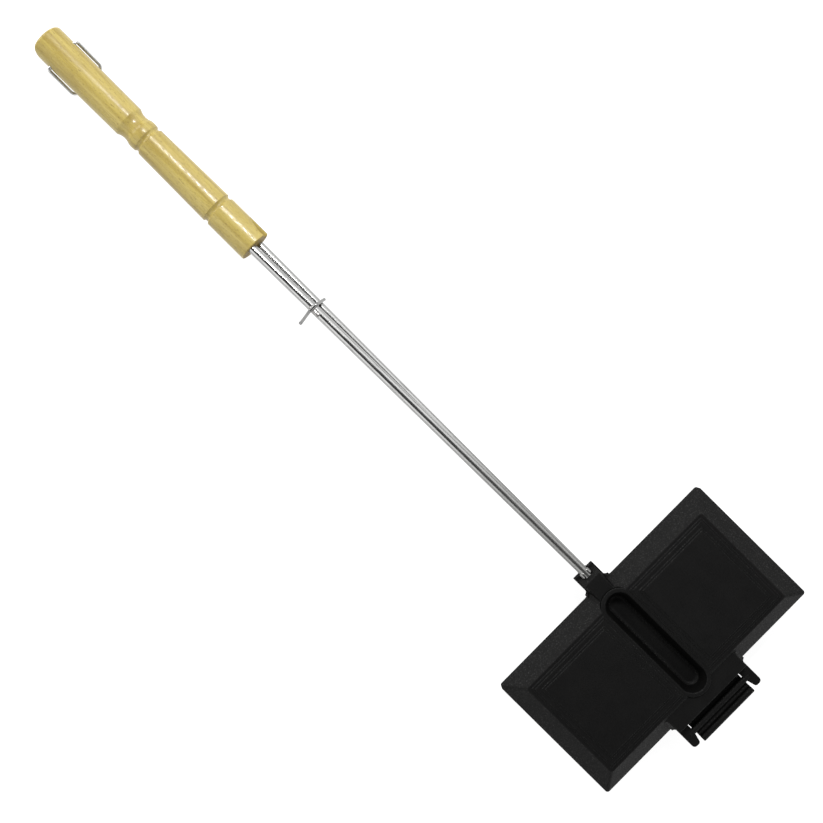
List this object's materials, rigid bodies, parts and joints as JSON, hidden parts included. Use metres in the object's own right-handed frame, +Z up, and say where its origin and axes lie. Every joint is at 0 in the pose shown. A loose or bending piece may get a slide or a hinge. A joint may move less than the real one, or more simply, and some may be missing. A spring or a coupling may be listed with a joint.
{
  "type": "pie iron",
  "caption": "Hinged cast-iron double sandwich cooker on long steel rods with a split wooden handle, a wire clasp and a wire rod guide, shown closed.",
  "frame": {"origin": "middle of the closed tool's box, on the plane of its lowest faces, the two raised panels it stands on", "axes": "+X along the tool from the handle's tip to the hinge, +Y across the heads, +Z up through the closed heads"},
  "size_m": [0.711, 0.208, 0.04],
  "materials": {
    "iron": "sand-cast, seasoned near-black, slightly rough satin",
    "rod_steel": "bright plated round rod",
    "wood": "turned pale hardwood under clear gloss lacquer",
    "wire_steel": "bright plated wire",
    "weld_metal": "plated weld bead"
  },
  "bodies": {
    "lower_iron": {"lower_casting": "iron", "lower_rod": "rod_steel", "lower_grip": "wood"},
    "upper_iron": {"upper_casting": "iron", "upper_rod": "rod_steel", "upper_grip": "wood", "rod_guide": "wire_steel", "guide_weld": "weld_metal"},
    "clasp": {"handle_clasp": "wire_steel"}
  },
  "joints": [
    {"name": "main_hinge", "type": "hinge", "parent": "lower_iron", "child": "upper_iron", "pos_m": [0.3441, 0, 0.0227], "axis": [0, 1, 0], "range_deg": [0, 105]},
    {"name": "clasp_pivot", "type": "hinge", "parent": "upper_iron", "child": "clasp", "pos_m": [-0.3371, 0, 0.0238], "axis": [0, 1, 0], "range_deg": [0, 295]}
  ]
}
